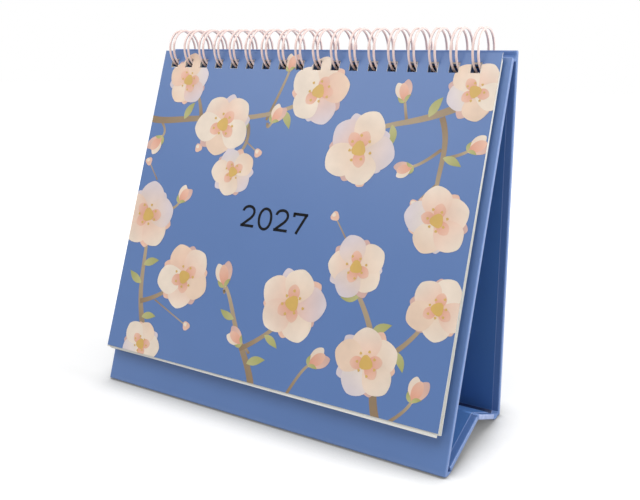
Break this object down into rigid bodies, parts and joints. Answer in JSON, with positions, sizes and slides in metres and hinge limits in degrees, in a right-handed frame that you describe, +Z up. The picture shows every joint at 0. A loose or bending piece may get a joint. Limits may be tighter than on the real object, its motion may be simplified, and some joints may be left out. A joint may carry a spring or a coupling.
{
  "type": "desk calendar",
  "caption": "Tent-shaped desk calendar: paper-covered board stand with a creased base, a leaf block and a printed cover on a twin-loop wire.",
  "frame": {"origin": "on the table, under the middle of the calendar's own box", "axes": "+X along the binding wire, to the right seen from the front; +Y from the front panel to the back panel; +Z up"},
  "size_m": [0.164, 0.0592, 0.1545],
  "materials": {
    "greyboard": "matt",
    "blue_wrap": "matt laminated print",
    "blue_lining": "matt",
    "cover_print": "smooth print",
    "leaf_paper": "uncoated",
    "wire_coat": "nylon coated"
  },
  "bodies": {
    "front_panel": {"front_board": "greyboard", "front_wrap": "blue_wrap", "front_lining": "blue_lining", "spine_hinge": "blue_wrap", "front_foot_hinge": "blue_wrap", "binding_wire": "wire_coat", "page_block": "leaf_paper"},
    "back_panel": {"back_board": "greyboard", "back_wrap": "blue_wrap", "back_lining": "blue_lining", "rear_foot_hinge": "blue_wrap"},
    "base_front": {"base_front_board": "greyboard", "base_front_wrap": "blue_wrap", "base_front_lining": "blue_lining", "crease_hinge": "blue_lining"},
    "base_rear": {"base_rear_board": "greyboard", "base_rear_wrap": "blue_wrap", "base_rear_lining": "blue_lining"},
    "cover": {"cover_leaf": "cover_print"}
  },
  "joints": [
    {"name": "stand_fold", "type": "hinge", "parent": "front_panel", "child": "back_panel", "pos_m": [0, 0.02021, 0.14565], "axis": [-1, 0, 0], "range_deg": [0, 16]},
    {"name": "base_front_fold", "type": "hinge", "parent": "front_panel", "child": "base_front", "pos_m": [0, -0.02352, 0], "axis": [1, 0, 0], "range_deg": [0, 53.16]},
    {"name": "crease_fold", "type": "hinge", "parent": "base_front", "child": "base_rear", "pos_m": [0, 0.00285, 0.00899], "axis": [-1, 0, 0], "range_deg": [0, 138.33]},
    {"name": "cover_turn", "type": "hinge", "parent": "front_panel", "child": "cover", "pos_m": [0, 0.02021, 0.14565], "axis": [-1, 0, 0], "range_deg": [0, 180]}
  ],
  "couplings": [
    {"joint": "base_front_fold", "follows": "stand_fold", "ratio": 3.3041},
    {"joint": "crease_fold", "follows": "stand_fold", "ratio": 8.552}
  ]
}
